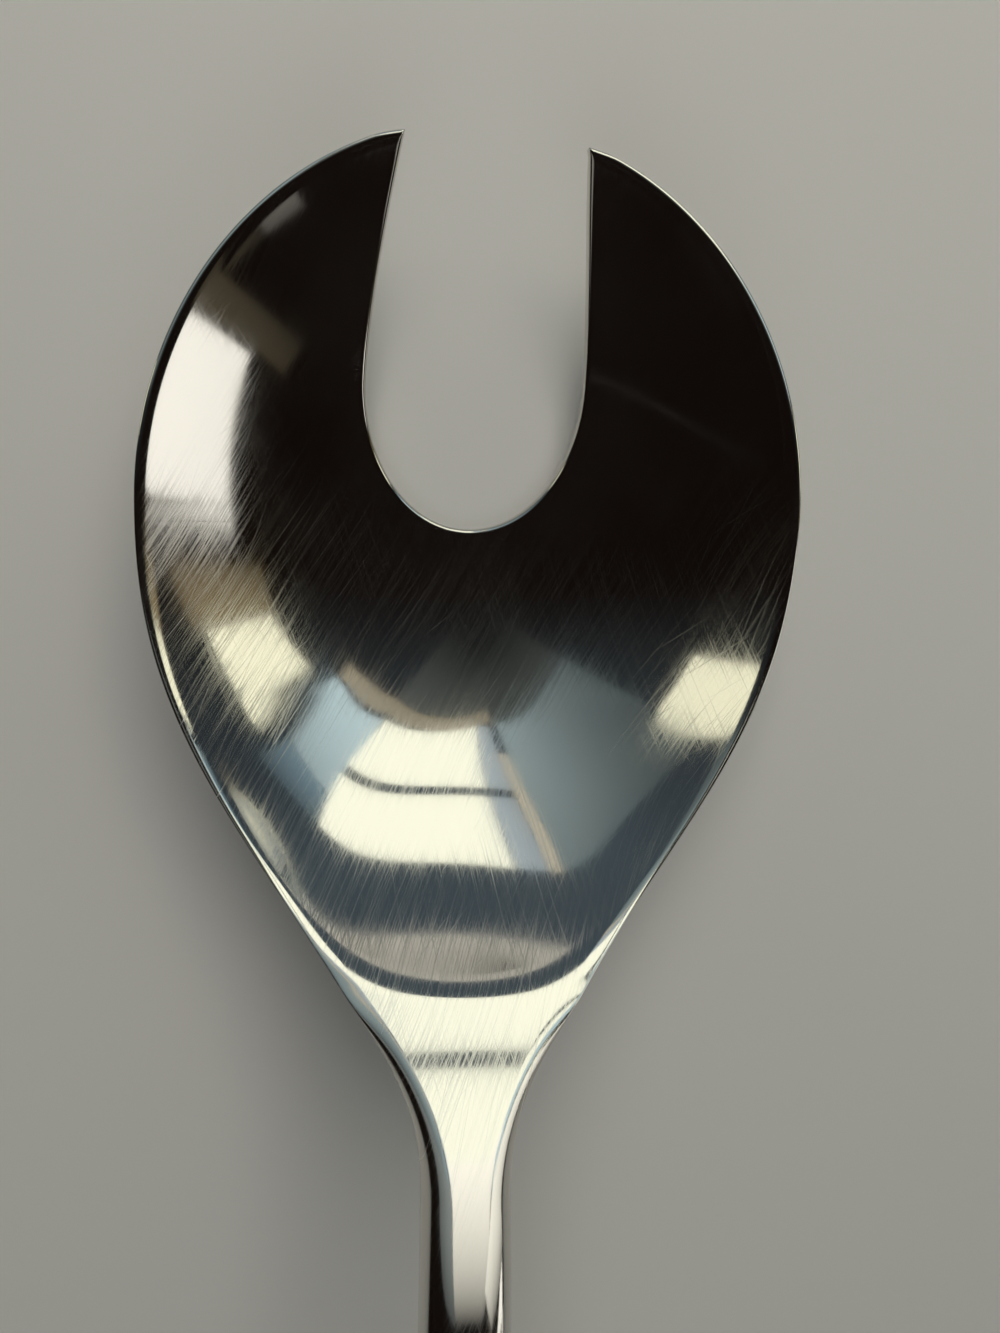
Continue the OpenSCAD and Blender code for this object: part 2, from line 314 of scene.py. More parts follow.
def notch_half(s):
    """Half the gap between the prongs: a power curve from the mouth, then half an ellipse."""
    sides = NOTCH_W / 2 - (NOTCH_W - MOUTH_W) / 2 * np.clip(1 - s / STRAIGHT_LEN, 0, 1) ** PRONG_POW
    bottom = NOTCH_W / 2 * np.sqrt(np.clip(1 - ((s - STRAIGHT_LEN) / NOTCH_ROUND) ** 2, 0, 1))
    return np.where(s < STRAIGHT_LEN, sides, np.where(s < NOTCH_LEN, bottom, 0))


def notch_edge_drop(x, s):
    """Quarter circle that takes the sharpness off the notch's edge.

    The distance to the edge is the sideways gap beside the prongs, and round the bottom the
    ellipse's own equation over the length of its gradient.
    """
    beside = x - notch_half(s)
    along = np.maximum(s - STRAIGHT_LEN, 0)
    ellipse = np.hypot(x / (NOTCH_W / 2), along / NOTCH_ROUND)
    steepness = np.hypot(x / (NOTCH_W / 2) ** 2, along / NOTCH_ROUND ** 2) / np.maximum(ellipse, TINY)
    round_bottom = (ellipse - 1) / np.maximum(steepness, TINY)
    gap = np.where(s < STRAIGHT_LEN, beside, round_bottom)
    radius = NOTCH_EDGE * np.minimum(1, (half_w(s) - notch_half(s)) / (NOTCH_EASE * TIP_W))
    inside = np.clip(1 - gap / radius, 0, 1)
    return radius * (1 - np.sqrt(1 - inside ** 2))


def swell(s):
    """Share of the handle's growth from the joint to its widest station."""
    return ease((s - JOINT_AT) / (SWELL_AT - JOINT_AT))


def grip_half_w(s):
    """Half the handle's width."""
    return NECK_W / 2 + (HANDLE_W - NECK_W) / 2 * swell(s)


def grip_half_t(s):
    """Half the handle's upright thickness."""
    return (NECK_T / 2 + (HANDLE_T - NECK_T) / 2 * swell(s)) * steep(s)


def grip_z(s):
    """Height of the handle's middle."""
    return ridge(s) - grip_half_t(s)


def build_mesh(name, points, quads, triangles):
    """A smooth mesh in metres from points in millimetres; unused points are left out."""
    used, places = np.unique(np.concatenate([quads.ravel(), triangles.ravel()]), return_inverse=True)
    quads = places[:quads.size].reshape(-1, 4)
    triangles = places[len(places) - triangles.size:].reshape(-1, 3)
    mesh = bpy.data.meshes.new(name)
    mesh.from_pydata((points[used] * MM).tolist(), [], quads.tolist() + triangles.tolist())
    mesh.update()
    mesh.shade_smooth()
    mesh.set_sharp_from_angle(angle=np.radians(SHARP_ANGLE))
    piece = bpy.data.objects.new(name, mesh)
    bpy.context.scene.collection.objects.link(piece)
    return piece


def head_stations():
    """Stations of the head's rings, closest at the tips, round the notch's bottom and at the heel.

    A power curve crowds them to the tips, a sine to the notch's bottom and a cosine to its edge.
    """
    heel_start, heel_end = HEEL_AT - HEEL_BEFORE, HEEL_AT + HEEL_AFTER
    prongs = STRAIGHT_LEN * np.linspace(0, 1, PRONG_RINGS) ** PRONG_CROWD
    notch = STRAIGHT_LEN + NOTCH_ROUND * np.sin(np.linspace(0, np.pi / 2, NOTCH_RINGS))
    lip = NOTCH_LEN + NOTCH_EDGE * (1 - np.cos(np.linspace(0, np.pi / 2, LIP_RINGS)))
    floor = np.linspace(NOTCH_LEN + 2 * NOTCH_EDGE, heel_start, FLOOR_RINGS)
    heel = np.linspace(heel_start, heel_end, HEEL_RINGS)
    neck = np.linspace(heel_end, JOINT_AT - JOINT_LINE, NECK_RINGS)
    stations = np.concatenate([prongs, notch[1:], lip[1:], floor, heel[1:], neck[1:], [JOINT_AT]])
    return stations, PRONG_RINGS + NOTCH_RINGS - 2


def head_piece():
    """Bowl, neck and tang in one skin.

    Each ring runs over the top from the notch or the centre line to the edge and back underneath,
    once for each side. Columns crowd to both ends of the face by half a cosine, and over the
    rolled edge to the outline by a sine. The two sides share the centre line behind the notch, and
    a wall joins top and underside along the notch. The last ring shrinks to show the joint, and the
    tang's rings are ellipses that taper.
    """
    stations, notch_end = head_stations()
    s = stations[:, None]
    width = half_w(s) - notch_half(s)
    edge = np.minimum(roll(s), width / 2)
    across = (1 - np.cos(np.linspace(0, np.pi, FACE_COLUMNS + 1))) / 2
    outwards = np.sin(np.linspace(0, np.pi / 2, EDGE_COLUMNS + 1))[1:]
    x = np.concatenate([notch_half(s) + (width - edge) * across,
                        half_w(s) - edge * (1 - outwards)], axis=1)
    top = top_z(x, s) - notch_edge_drop(x, s)
    under = under_z(x, s) + notch_edge_drop(x, s)
    ring_x = np.concatenate([x, x[:, -2::-1]], axis=1)
    ring_z = np.concatenate([top, under[:, -2::-1]], axis=1)
    middle = grip_z(s[-1])
    shrink = 1 - JOINT_LINE / (NECK_W / 2)
    ring_x[-1] *= shrink
    ring_z[-1] = middle + (ring_z[-1] - middle) * shrink

    tang_s = np.linspace(JOINT_AT, JOINT_AT + TANG_LEN, TANG_RINGS)[:, None]
    share = 1 - (1 - TANG_TAPER) * (tang_s - JOINT_AT) / TANG_LEN
    angle = np.linspace(0, np.pi, ring_x.shape[1])
    ring_x = np.concatenate([ring_x, TANG_W / 2 * share * np.sin(angle)])
    ring_z = np.concatenate([ring_z, grip_z(tang_s) + TANG_T / 2 * share * np.cos(angle)])
    ring_y = np.broadcast_to(OVERALL_LEN / 2 - np.concatenate([s, tang_s]), ring_x.shape)

    right = np.arange(ring_x.size).reshape(ring_x.shape)
    left = right + ring_x.size
    left[notch_end:, [0, -1]] = right[notch_end:, [0, -1]]
    points = np.concatenate([np.stack([side * ring_x, ring_y, ring_z], axis=-1).reshape(-1, 3)
                             for side in (1, -1)])
    quads, triangles = [], []
    for ids, order in ((right, 1), (left, -1)):
        skin = np.stack([ids[1:, :-1], ids[1:, 1:], ids[:-1, 1:], ids[:-1, :-1]], axis=-1)
        wall = np.stack([ids[1:, -1], ids[1:, 0], ids[:-1, 0], ids[:-1, -1]], axis=-1)[:notch_end]
        tip, end = ids[0], ids[-1, ::-1]
        caps = [np.stack([ring[:HEAD_COLUMNS - 1], ring[1:HEAD_COLUMNS],
                          ring[:HEAD_COLUMNS:-1][1:], ring[:HEAD_COLUMNS + 1:-1]], axis=-1)
                for ring in (tip, end)]
        corners = [ring[HEAD_COLUMNS - 1:HEAD_COLUMNS + 2][None] for ring in (tip, end)]
        quads += [part.reshape(-1, 4)[:, ::order] for part in (skin, wall, *caps)]
        triangles += [part[:, ::order] for part in corners]
    return build_mesh("bowl_and_neck", points, np.concatenate(quads), np.concatenate(triangles))


def handle_half(name, side):
    """One half of the hollow handle, above (1) or below (-1) its seam.

    Rings of half an ellipse follow the handle's middle line, and the end is rounded by turning
    the rings down to a pole. The angles crowd to the seam by a cosine, and the outside dips a
    little there and at the joint, as a ground weld does. A second layer lies a wall further in.
    """
    s = np.concatenate([[JOINT_AT], np.linspace(JOINT_AT + JOINT_LINE, REST_AT, HANDLE_RINGS),
                        np.full(END_RINGS, REST_AT)])[:, None]
    end_turn = np.linspace(0, np.pi / 2, END_RINGS + 2)[1:-1]
    turn = np.concatenate([np.zeros(HANDLE_RINGS + 1), end_turn])[:, None]
    angle = -90 * np.cos(np.linspace(0, np.pi, HANDLE_COLUMNS))[None]
    dip = SEAM_LINE * np.exp(-((90 - np.abs(angle)) / SEAM_BAND) ** 2)
    dip = dip + np.where(s == JOINT_AT, JOINT_LINE, 0)
    bend = np.radians(angle + (0 if side > 0 else 180))
    layers, poles = [], []
    for inset in (0, SHELL_T):
        cut = dip if inset == 0 else inset + 0 * dip
        reach = s + (END_ROUND - inset) * np.sin(turn)
        x = (grip_half_w(s) - cut) * np.cos(turn) * np.sin(bend)
        z = (grip_z(s) - END_SLOPE * (reach - s)
             + (grip_half_t(s) - cut) * np.cos(turn) * np.cos(bend))
        layers.append(np.stack([x, np.broadcast_to(OVERALL_LEN / 2 - reach, x.shape), z], axis=-1))
        last = REST_AT + END_ROUND - inset
        poles.append([0, OVERALL_LEN / 2 - last, grip_z(REST_AT) - END_SLOPE * (last - REST_AT)])
    count, width = layers[0].shape[:2]
    outer = np.arange(count * width).reshape(count, width)
    inner = outer + count * width
    outer_pole, inner_pole = 2 * count * width, 2 * count * width + 1
    points = np.concatenate([layers[0].reshape(-1, 3), layers[1].reshape(-1, 3), np.array(poles)])

    def skin(ids):
        """Quads between neighbouring rings and columns of one layer."""
        corners = [ids[1:, :-1], ids[1:, 1:], ids[:-1, 1:], ids[:-1, :-1]]
        return np.stack(corners, axis=-1).reshape(-1, 4)

    def fan(ids, pole):
        """Triangles from one layer's last ring to its pole."""
        return np.stack([np.full(width - 1, pole), ids[-1, 1:], ids[-1, :-1]], axis=-1)

    def seam(column):
        """Quads from the outer to the inner layer along one column, down to the poles."""
        near = np.append(outer[:, column], outer_pole)
        far = np.append(inner[:, column], inner_pole)
        return np.stack([near[:-1], far[:-1], far[1:], near[1:]], axis=-1)

    front = np.stack([outer[0, :-1], outer[0, 1:], inner[0, 1:], inner[0, :-1]], axis=-1)
    quads = np.concatenate([skin(outer), skin(inner)[:, ::-1], seam(0), seam(-1)[:, ::-1], front])
    triangles = np.concatenate([fan(outer, outer_pole), fan(inner, inner_pole)[:, ::-1]])
    return build_mesh(name, points, quads, triangles)


def linear(code):
    """Linear colour of an sRGB hex code."""
    value = np.array([int(code[i:i + 2], 16) for i in (1, 3, 5)]) / 255
    value = np.where(value <= 0.04045, value / 12.92, ((value + 0.055) / 1.055) ** 2.4)
    return (*value.tolist(), 1.0)


# Inputs of a Map Range node, and of a Mix node that mixes colours
VALUE, LOW, HIGH, OUT_LOW, OUT_HIGH = range(5)
SHARE, FIRST, SECOND = 0, 6, 7


def add(tree, kind, links=None, **settings):
    """One shader node: its settings by property name, then a value or a link for each input."""
    node = tree.nodes.new(kind)
    for key, value in settings.items():
        setattr(node, key, value)
    for key, source in (links or {}).items():
        if isinstance(source, bpy.types.NodeSocket):
            tree.links.new(source, node.inputs[key])
        else:
            node.inputs[key].default_value = source
    return node


def new_material(name):
    """A material with an empty node tree, and the tree to fill."""
    material = bpy.data.materials.new(name)
    material.use_nodes = True
    tree = material.node_tree
    tree.nodes.clear()
    return material, tree


# Hairline wear, as families of lines: turn in degrees, length and width of the lines' grain in mm,
# the grain level from which a line shows, and how much it roughens the mirror
BOWL_LINES = [(64, 16, 0.07, 0.50, 0.15), (110, 12, 0.07, 0.55, 0.12), (58, 20, 0.08, 0.60, 0.22),
              (73, 14, 0.08, 0.60, 0.20), (42, 16, 0.08, 0.68, 0.26), (126, 14, 0.08, 0.69, 0.26)]
HANDLE_LINES = [(90, 14, 0.09, 0.57, 0.20), (74, 9, 0.10, 0.62, 0.26), (24, 6, 0.11, 0.66, 0.28)]
# Grain levels over which a line fades in, then its upright reach, its depth and its sway in mm
LINE_FADE = 0.14
LINE_UPRIGHT = 40.0
LINE_CUT = 0.004
LINE_SWAY = 2.0
# Sizes in mm of the patches of lines, the smudges and the waves that polishing leaves
PATCH_SIZE = 28.6
SMUDGE_SIZE = 9.1
WAVE_SIZE = 11.1
WAVE_HEIGHT = 0.006
# Noise levels between which a patch fills with lines or a smudge dulls, and the least share of lines
PATCH_LEVELS = (0.35, 0.6)
SMUDGE_LEVELS = (0.35, 0.75)
LEAST_LINES = 0.35
# Stations between which the wear falls off from the rubbed floor to the prongs, and what is left there
WORN_TO = 44.0
KEPT_FROM = 24.0
KEPT_WEAR = 0.3
# Sharpest and dullest roughness of each finish
BOWL_MIRROR = (0.05, 0.10)
HANDLE_MIRROR = (0.16, 0.24)


def polished_steel(name, lines, mirror):
    """Mirror-polished stainless steel with hairline wear.

    The eye sees a sharp, slightly warm grey mirror under dense fine lines, which draw a soft haze
    out of every bright reflection, and smudges where it has been wiped. The lines lie in patches
    and are thickest on the rubbed floor of the bowl. Real ones are a few hundredths of a millimetre
    wide; they are drawn two or three times as coarse so that they show.
    """
    material, tree = new_material(name)
    place = add(tree, "ShaderNodeTexCoord").outputs["Object"]
    spot = add(tree, "ShaderNodeVectorMath", {0: place, 1: (1 / MM,) * 3}, operation="MULTIPLY").outputs[0]
    forward = add(tree, "ShaderNodeSeparateXYZ", {0: spot}).outputs["Y"]
    worn = add(tree, "ShaderNodeMapRange",
               {VALUE: forward, LOW: OVERALL_LEN / 2 - WORN_TO, HIGH: OVERALL_LEN / 2 - KEPT_FROM,
                OUT_LOW: 1.0, OUT_HIGH: KEPT_WEAR}).outputs[0]
    sway = add(tree, "ShaderNodeTexNoise",
               {"Vector": spot, "Scale": 1 / PATCH_SIZE, "Detail": 1.0}).outputs["Color"]
    drift = add(tree, "ShaderNodeVectorMath", {0: sway, 1: (LINE_SWAY,) * 3, 2: spot},
                operation="MULTIPLY_ADD").outputs[0]
    patches = add(tree, "ShaderNodeSeparateColor", {0: sway})
    scratch = None
    for number, (turn, length, width, level, depth) in enumerate(lines):
        along = add(tree, "ShaderNodeMapping",
                    {"Vector": drift, "Rotation": (0, 0, np.radians(turn)),
                     "Scale": (length, width, LINE_UPRIGHT)}, vector_type="TEXTURE").outputs[0]
        grain = add(tree, "ShaderNodeTexNoise",
                    {"Vector": along, "Scale": 1.0, "Detail": 1.5}).outputs["Fac"]
        patch = add(tree, "ShaderNodeMapRange",
                    {VALUE: patches.outputs[number % 3], LOW: PATCH_LEVELS[0], HIGH: PATCH_LEVELS[1],
                     OUT_LOW: LEAST_LINES, OUT_HIGH: 1.0}).outputs[0]
        line = add(tree, "ShaderNodeMapRange",
                   {VALUE: grain, LOW: level, HIGH: level + LINE_FADE,
                    OUT_LOW: 0.0, OUT_HIGH: depth}).outputs[0]
        line = add(tree, "ShaderNodeMath", {0: line, 1: patch}, operation="MULTIPLY").outputs[0]
        scratch = line if scratch is None else add(
            tree, "ShaderNodeMath", {0: scratch, 1: line}, operation="MAXIMUM").outputs[0]
    scratch = add(tree, "ShaderNodeMath", {0: scratch, 1: worn}, operation="MULTIPLY").outputs[0]
    smudge = add(tree, "ShaderNodeTexNoise",
                 {"Vector": spot, "Scale": 1 / SMUDGE_SIZE, "Detail": 3.0}).outputs["Fac"]
    rough = add(tree, "ShaderNodeMapRange",
                {VALUE: smudge, LOW: SMUDGE_LEVELS[0], HIGH: SMUDGE_LEVELS[1],
                 OUT_LOW: mirror[0], OUT_HIGH: mirror[1]}).outputs[0]
    rough = add(tree, "ShaderNodeMath", {0: scratch, 1: rough}, operation="ADD").outputs[0]
    tone = add(tree, "ShaderNodeMix",
               {SHARE: smudge, FIRST: linear("#CFCDC8"), SECOND: linear("#D6D3CC")}, data_type="RGBA")
    wave = add(tree, "ShaderNodeTexNoise",
               {"Vector": spot, "Scale": 1 / WAVE_SIZE, "Detail": 1.0}).outputs["Fac"]
    wavy = add(tree, "ShaderNodeBump",
               {"Height": wave, "Strength": 1.0, "Distance": WAVE_HEIGHT * MM}).outputs[0]
    cut = add(tree, "ShaderNodeBump",
              {"Height": scratch, "Normal": wavy, "Strength": 1.0, "Distance": LINE_CUT * MM},
              invert=True).outputs[0]
    shader = add(tree, "ShaderNodeBsdfPrincipled",
                 {"Base Color": tone.outputs[2], "Metallic": 1.0, "Roughness": rough, "Normal": cut})
    add(tree, "ShaderNodeOutputMaterial", {"Surface": shader.outputs[0]})
    return material


# Size of the cement's grains and depth of its dents, in mm
CEMENT_GRAIN = 0.4
CEMENT_DENT = 0.2


def resin_cement():
    """Filled resin cement: a dull sandy mass with darker grains, hidden inside the handle."""
    material, tree = new_material("resin_cement")
    place = add(tree, "ShaderNodeTexCoord").outputs["Object"]
    grain = add(tree, "ShaderNodeTexNoise",
                {"Vector": place, "Scale": 1 / (CEMENT_GRAIN * MM), "Detail": 3.0}).outputs["Fac"]
    tone = add(tree, "ShaderNodeValToRGB", {"Fac": grain})
    tone.color_ramp.elements[0].color = linear("#7F7464")
    tone.color_ramp.elements[1].color = linear("#B5AA96")
    dent = add(tree, "ShaderNodeBump",
               {"Height": grain, "Strength": 0.4, "Distance": CEMENT_DENT * MM}).outputs[0]
    shader = add(tree, "ShaderNodeBsdfPrincipled",
                 {"Base Color": tone.outputs["Color"], "Roughness": 0.85, "Normal": dent})
    add(tree, "ShaderNodeOutputMaterial", {"Surface": shader.outputs[0]})
    return material


# Softboxes round the bowl: a colour, then the corners from the lower left one round to the upper
# left one, as (turn from +Y towards +X, angle from straight up, brightness), angles in degrees
SOFTBOXES = {
    "lower_pane": ("#FDFFEC", [(-1.5, 76.5, 1.54), (44.0, 75.0, 1.54),
                               (50.0, 56.0, 1.54), (-1.0, 52.0, 1.54)]),
    "upper_pane": ("#FDFFEC", [(-1.0, 49.0, 1.54), (50.5, 52.8, 1.54),
                               (51.0, 36.5, 1.54), (-0.5, 26.5, 1.54)]),
    "lower_blue": ("#C6D6E0", [(-9.5, 76.5, 0.75), (-2.0, 76.5, 0.95),
                               (-1.6, 52.0, 0.95), (-9.0, 52.0, 0.75)]),
    "upper_blue": ("#C6D6E0", [(-9.0, 49.0, 0.85), (-1.6, 49.0, 0.95),
                               (-1.2, 26.5, 0.95), (-9.5, 27.0, 0.85)]),
    "strip": ("#EFE8D2", [(-14.0, 77.0, 0.80), (-9.6, 77.0, 0.80),
                          (-9.6, 36.0, 0.80), (-14.0, 36.0, 0.80)]),
    "wide_blue": ("#B8CDD2", [(-68.0, 70.0, 0.16), (-14.2, 77.0, 0.50),
                              (-14.2, 26.0, 0.85), (-70.0, 27.0, 0.30)]),
    "side_blue": ("#C6DEE6", [(47.0, 64.0, 0.85), (68.5, 64.0, 0.75),
                              (72.0, 46.0, 1.30), (52.0, 37.0, 1.30)]),
    "side_low": ("#A9CADC", [(45.0, 75.0, 0.26), (68.0, 76.0, 0.20),
                             (68.5, 64.3, 0.55), (47.0, 64.3, 0.60)]),
    "right_panes": ("#FFFEE2", [(72.0, 72.0, 1.45), (84.0, 74.5, 1.45),
                                (85.5, 59.0, 1.45), (76.0, 52.0, 1.45)]),
    "right_tan": ("#CDB68A", [(84.4, 77.0, 0.50), (90.0, 79.0, 0.35),
                              (91.0, 60.0, 0.22), (86.0, 58.5, 0.40)]),
    "right_white": ("#FFFDF6", [(92.0, 84.0, 1.45), (112.0, 84.0, 1.45),
                                (111.0, 66.0, 1.35), (93.0, 66.0, 1.35)]),
    "right_frame": ("#8F836C", [(112.5, 82.0, 0.36), (126.0, 80.0, 0.10),
                                (124.0, 54.0, 0.06), (111.5, 58.0, 0.22)]),
    "right_low": ("#FFFDF6", [(112.0, 88.0, 0.80), (138.0, 88.0, 0.30),
                              (138.0, 81.0, 0.30), (112.0, 82.5, 0.80)]),
    "left_panes": ("#FFFEE2", [(-80.0, 76.0, 1.30), (-68.0, 77.0, 1.30),
                               (-68.0, 58.0, 1.30), (-80.0, 60.0, 1.30)]),
    "head_strip": ("#E8DCC0", [(-10.0, 25.5, 0.50), (54.0, 35.5, 0.50),
                               (54.0, 31.0, 0.50), (-10.0, 21.5, 0.50)]),
    "ceiling_left": ("#C8D4D0", [(-70.0, 26.6, 0.12), (-10.3, 25.6, 0.16),
                                 (-10.3, 6.0, 0.02), (-70.0, 6.0, 0.02)]),
    "ceiling_right": ("#C8D4D0", [(-10.0, 21.2, 0.16), (54.0, 30.7, 0.20),
                                  (60.0, 6.0, 0.02), (-10.0, 6.0, 0.02)]),
    "side_head": ("#E8DCC0", [(54.0, 36.0, 0.55), (72.0, 45.0, 0.60),
                              (74.0, 40.5, 0.60), (54.0, 31.0, 0.55)]),
}
# Distance of the softboxes and the point they stand round, in metres, and the points along a sheet
SOFTBOX_REACH = 2.6
BOWL_MIDDLE = np.array([0, 0.088, 0.012])
SHEET_POINTS = 13
NO_TRIANGLES = np.zeros((0, 3), int)


def mixed(corners):
    """A grid of rows mixed bilinearly from four corner rows, which run round the patch."""
    u, v = np.meshgrid(np.linspace(0, 1, SHEET_POINTS), np.linspace(0, 1, SHEET_POINTS))
    a, b, c, d = np.array(corners, float)[:, :, None, None]
    return (1 - v) * ((1 - u) * a + u * b) + v * ((1 - u) * d + u * c)


def glowing_sheet(name, code, points, glow):
    """A sheet that glows with a brightness at each point of its grid, out of the camera's sight."""
    ids = np.arange(glow.size).reshape(glow.shape)
    quads = np.stack([ids[:-1, :-1], ids[:-1, 1:], ids[1:, 1:], ids[1:, :-1]], axis=-1)
    sheet = build_mesh(name, points.reshape(-1, 3), quads.reshape(-1, 4), NO_TRIANGLES)
    sheet.data.attributes.new("glow", "FLOAT", "POINT").data.foreach_set("value", glow.ravel())
    material, tree = new_material(name)
    level = add(tree, "ShaderNodeAttribute", attribute_name="glow").outputs["Fac"]
    light = add(tree, "ShaderNodeEmission", {"Color": linear(code), "Strength": level})
    add(tree, "ShaderNodeOutputMaterial", {"Surface": light.outputs[0]})
    sheet.data.materials.append(material)
    sheet.visible_camera = False
    return sheet


def softbox(name, code, corners):
    """A glowing patch of a sphere round the bowl: corner angles and brightness are mixed bilinearly."""
    turn, angle, glow = mixed(corners)
    turn, angle = np.radians(turn), np.radians(angle)
    aim = np.stack([np.sin(angle) * np.sin(turn), np.sin(angle) * np.cos(turn), np.cos(angle)], axis=-1)
    glowing_sheet("softbox_" + name, code, (BOWL_MIDDLE + SOFTBOX_REACH * aim) / MM, glow)


# Tone of the surround's dark side, and of what is meant to be lost in it
DARK_SIDE = "#140E0B"
# Cards over the neck and the handle: a colour, the corners as (x, y, z in mm, brightness), and the
# way from the lit face to the dark back, CARD_BACK mm behind it. The bowl sees only the backs, and
# the upright screen hides the card over the handle from it.
CARDS = {
    "over_neck": ("#FFFDF2", [(-3.0, 69.6, 76.1, 1.55), (44.0, 69.6, 76.1, 1.55),
                              (44.0, 38.0, 176.2, 0.05), (-3.0, 38.0, 176.2, 0.05)], (0, 0.95, 0.3)),
    "over_left": ("#D8E2E2", [(-130.0, 66.6, 85.6, 0.20), (-3.5, 66.6, 85.6, 0.50),
                              (-3.5, 36.0, 182.5, 0.12), (-130.0, 36.0, 182.5, 0.14)], (0, 0.95, 0.3)),
    "over_right": ("#FFFDF2", [(24.9, 50.7, 39.7, 1.50), (97.0, 14.7, 39.7, 0.10),
                               (93.0, 10.7, 121.8, 0.10), (22.3, 46.0, 121.8, 1.10)],
                   (0.444, 0.888, 0.118)),
    "over_handle": ("#FFFDF2", [(-130.0, -520.0, 300.0, 0.55), (130.0, -520.0, 300.0, 0.55),
                                (110.0, 12.0, 300.0, 0.95), (-110.0, 12.0, 300.0, 0.95)], (0, 0, 1)),
    "screen": ("#FFFDF2", [(-160.0, 16.0, 60.0, 0.35), (160.0, 16.0, 60.0, 0.35),
                           (160.0, 16.0, 320.0, 0.85), (-160.0, 16.0, 320.0, 0.85)], (0, 1, 0)),
}
CARD_BACK = 0.05


def card(name, code, corners, away):
    """A glowing flat card with a dark back, both mixed from their corners and seen by steel only."""
    x, y, z, glow = mixed(corners)
    points = np.stack([x, y, z], axis=-1)
    sheets = [glowing_sheet("card_" + name, code, points, glow),
              glowing_sheet("back_" + name, DARK_SIDE, points + CARD_BACK * np.array(away),
                            np.ones(glow.shape))]
    for sheet in sheets:
        sheet.visible_diffuse = False
        sheet.visible_shadow = False


# Parts of a direction along +Y or +Z between which the surround turns: dark to pale ahead, dark to
# the pale band behind, and dark to the pale band low down
AHEAD = (0.0, 0.75)
BEHIND = (-0.4, -0.65)
LOW_DOWN = (0.34, 0.2)


def dim_surround():
    """World light: near black overhead, pale ahead, and a paler band low down behind the handle.

    The band's share is how far a direction points back, times how close it is to level.
    """
    world = bpy.data.worlds.new("dim_surround")
    bpy.context.scene.world = world
    world.use_nodes = True
    tree = world.node_tree
    tree.nodes.clear()
    aim = add(tree, "ShaderNodeTexCoord").outputs["Generated"]
    axes = add(tree, "ShaderNodeSeparateXYZ", {0: aim})
    ahead, back, low = [
        add(tree, "ShaderNodeMapRange",
            {VALUE: axes.outputs[axis], LOW: start, HIGH: stop, OUT_LOW: 0.0, OUT_HIGH: 1.0}).outputs[0]
        for axis, (start, stop) in (("Y", AHEAD), ("Y", BEHIND), ("Z", LOW_DOWN))]
    band = add(tree, "ShaderNodeMath", {0: back, 1: low}, operation="MULTIPLY").outputs[0]
    tone = add(tree, "ShaderNodeMix",
               {SHARE: ahead, FIRST: linear(DARK_SIDE), SECOND: linear("#4A565F")}, data_type="RGBA")
    tone = add(tree, "ShaderNodeMix",
               {SHARE: band, FIRST: tone.outputs[2], SECOND: linear("#8E8B86")}, data_type="RGBA")
    glow = add(tree, "ShaderNodeBackground", {"Color": tone.outputs[2], "Strength": 1.0})
    add(tree, "ShaderNodeOutputWorld", {"Surface": glow.outputs[0]})


# Reach of the floor to the sides and behind, and to its front edge past the tips, in metres
FLOOR_REACH = 3.0
FLOOR_FRONT = 0.5


def pale_floor():
    """A wide level floor under the server."""
    side, front = FLOOR_REACH / MM, FLOOR_FRONT / MM
    corners = np.array([[-side, -side, 0], [side, -side, 0], [side, front, 0], [-side, front, 0]])
    floor = build_mesh("pale_floor", corners, np.array([[0, 1, 2, 3]]), NO_TRIANGLES)
    material, tree = new_material("pale_matte_floor")
    shader = add(tree, "ShaderNodeBsdfPrincipled", {"Base Color": linear("#9D9D9B"), "Roughness": 0.9})
    add(tree, "ShaderNodeOutputMaterial", {"Surface": shader.outputs[0]})
    floor.data.materials.append(material)


# Soft lamps for the floor: place, aim, side in metres, power in watts and colour
FLOOR_LAMPS = {
    "front_light": ((0.12, 0.62, 0.8), (0, 0.05, 0), 0.9, 1.7, "#FFFFFF"),
    "back_floor": ((0, -1.0, 1.0), (0, -0.9, 0), 1.0, 4.5, "#FFFFFF"),
    "far_floor": ((0.03, 0.52, 0.42), (0.03, 0.52, 0), 0.4, 3.9, "#FFF8EC"),
}


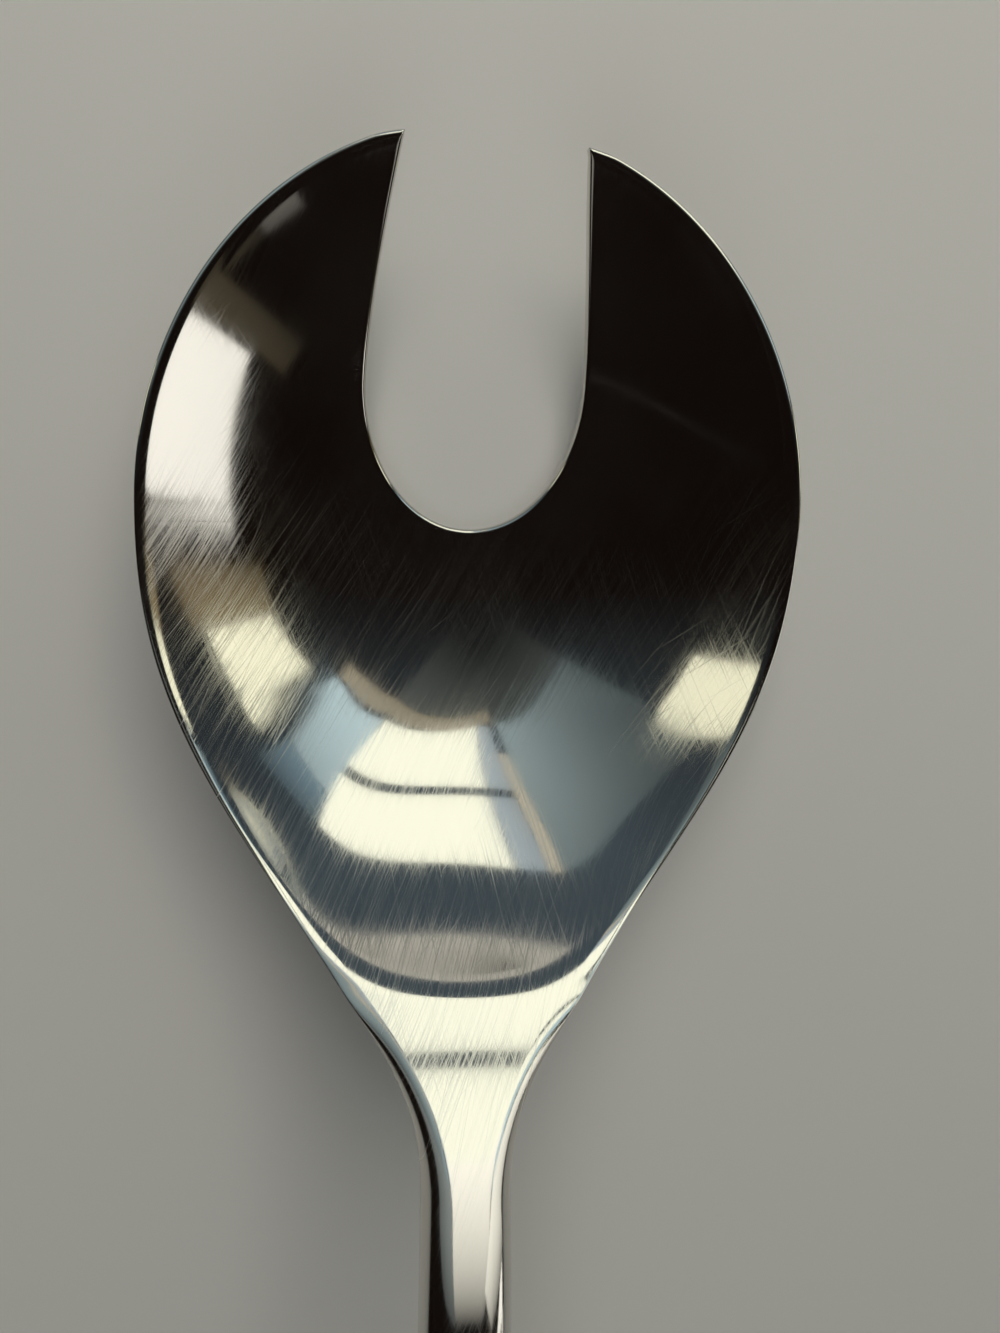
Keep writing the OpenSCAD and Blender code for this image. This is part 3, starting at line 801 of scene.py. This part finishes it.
def floor_lamp(name, place, aim, side, power, code):
    """A soft square lamp that lights the floor and stays out of the mirror."""
    data = bpy.data.lights.new(name, "AREA")
    data.shape = "SQUARE"
    data.size = side
    data.energy = power
    data.color = linear(code)[:3]
    lamp = bpy.data.objects.new(name, data)
    lamp.location = place
    lamp.rotation_euler = (Vector(aim) - Vector(place)).to_track_quat("-Z", "Y").to_euler()
    lamp.visible_glossy = False
    bpy.context.scene.collection.objects.link(lamp)


# Camera: focal length and height of the picture in the photograph's pixels, a film width in mm, the
# nearest distance and the place in metres, and its turns about X, Y and Z in degrees
FOCAL_PX = 1003.0
PICTURE_PX = 1333.0
FILM_W = 36.0
NEAREST = 0.005
CAMERA_PLACE = (-0.009182, 0.096296, 0.105657)
CAMERA_TURNS = {"X": 10.516, "Y": 7.264, "Z": -1.888}


def photo_camera():
    """The camera above the bowl, a few degrees off straight down."""
    data = bpy.data.cameras.new("above_bowl")
    data.sensor_fit = "AUTO"
    data.sensor_width = FILM_W
    data.lens = FILM_W * FOCAL_PX / PICTURE_PX
    data.clip_start = NEAREST
    camera = bpy.data.objects.new("above_bowl", data)
    turn_x, turn_y, turn_z = [Matrix.Rotation(np.radians(turn), 3, axis)
                              for axis, turn in CAMERA_TURNS.items()]
    tilt = (turn_z @ turn_y @ turn_x).transposed()
    camera.matrix_world = Matrix.Translation(CAMERA_PLACE) @ tilt.to_4x4()
    bpy.context.scene.collection.objects.link(camera)
    bpy.context.scene.camera = camera


bowl_steel = polished_steel("mirror_polished_steel", BOWL_LINES, BOWL_MIRROR)
handle_steel = polished_steel("hand_worn_polished_steel", HANDLE_LINES, HANDLE_MIRROR)

head = head_piece()
head.data.materials.append(bowl_steel)
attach(head, "root")
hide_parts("head")

for name, side, node in (("handle_upper_half", 1, "handle_upper_shell"),
                         ("handle_lower_half", -1, "handle_lower_shell")):
    half = handle_half(name, side)
    half.data.materials.append(handle_steel)
    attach(half, "root")
    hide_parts(node)

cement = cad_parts["tang_cement"]
cement.data.materials.clear()
cement.data.materials.append(resin_cement())

for name, (code, corners) in SOFTBOXES.items():
    softbox(name, code, corners)
for name, (code, corners, away) in CARDS.items():
    card(name, code, corners, away)
dim_surround()
pale_floor()
for name, lamp in FLOOR_LAMPS.items():
    floor_lamp(name, *lamp)
photo_camera()
bpy.context.scene.view_settings.view_transform = "Standard"
